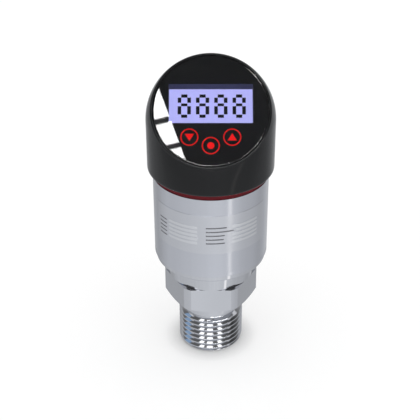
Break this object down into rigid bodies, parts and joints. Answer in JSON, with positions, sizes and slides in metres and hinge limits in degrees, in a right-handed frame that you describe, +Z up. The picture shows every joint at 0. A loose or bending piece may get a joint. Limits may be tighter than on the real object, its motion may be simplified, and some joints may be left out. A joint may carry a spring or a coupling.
{
  "type": "pressure transmitter",
  "caption": "Upright pressure transmitter: a threaded hexagonal process connection and steel sleeve under a black display head with a slanted round face that turns on a red seal ring.",
  "frame": {"origin": "centre of the thread's end face, which the part stands on", "axes": "+Z up along the thread and sleeve axis, the display looks towards -Y and up, the rear plug points to +Y"},
  "size_m": [0.039, 0.0529, 0.0991],
  "materials": {
    "turned_steel": "fine turned",
    "sleeve_steel": "satin",
    "black_rubber": "matte",
    "white_ceramic": "smooth",
    "frame_plastic": "matte",
    "circuit_board": "satin",
    "chip_plastic": "matte",
    "capacitor_can": "satin",
    "contact_metal": "polished",
    "collar_brass": "turned",
    "seal_red": "satin",
    "spring_steel": "bright",
    "flex_film": "satin",
    "head_plastic": "glossy",
    "clear_window": "clear",
    "mask_print": "printed",
    "lcd_face": "lit",
    "light_guide": "frosted",
    "plug_nickel": "nickel plated",
    "wire_cover": "satin"
  },
  "bodies": {
    "base": {"process_connection": "turned_steel", "cell_o_ring": "black_rubber", "pressure_cell": "white_ceramic", "cell_clamp_ring": "turned_steel", "case_sleeve": "sleeve_steel", "board_cradle": "frame_plastic", "main_board": "circuit_board", "amplifier_chip": "chip_plastic", "capacitors": "capacitor_can", "lead_header": "chip_plastic", "flex_header": "chip_plastic", "cell_leads": "contact_metal", "swivel_collar": "collar_brass", "neck_o_ring": "black_rubber", "seal_ring": "seal_red", "retaining_clip": "spring_steel", "stop_pin": "spring_steel", "flex_cable": "flex_film"},
    "head": {"head_shell": "head_plastic", "face_window": "clear_window", "face_mask": "mask_print", "window_gasket": "black_rubber", "display_frame": "frame_plastic", "lcd_glass": "lcd_face", "light_panel": "light_guide", "display_board": "circuit_board", "board_screws": "spring_steel", "touch_springs": "spring_steel", "controller_chip": "chip_plastic", "wire_socket": "chip_plastic", "plug_shell": "plug_nickel", "plug_seal": "black_rubber", "plug_nut": "plug_nickel", "plug_insert": "chip_plastic", "plug_pins": "contact_metal", "plug_wires": "wire_cover"}
  },
  "joints": [
    {"name": "head_turn", "type": "hinge", "parent": "base", "child": "head", "pos_m": [0, 0, 0.0652], "axis": [0, 0, 1], "range_deg": [-165, 165]}
  ]
}
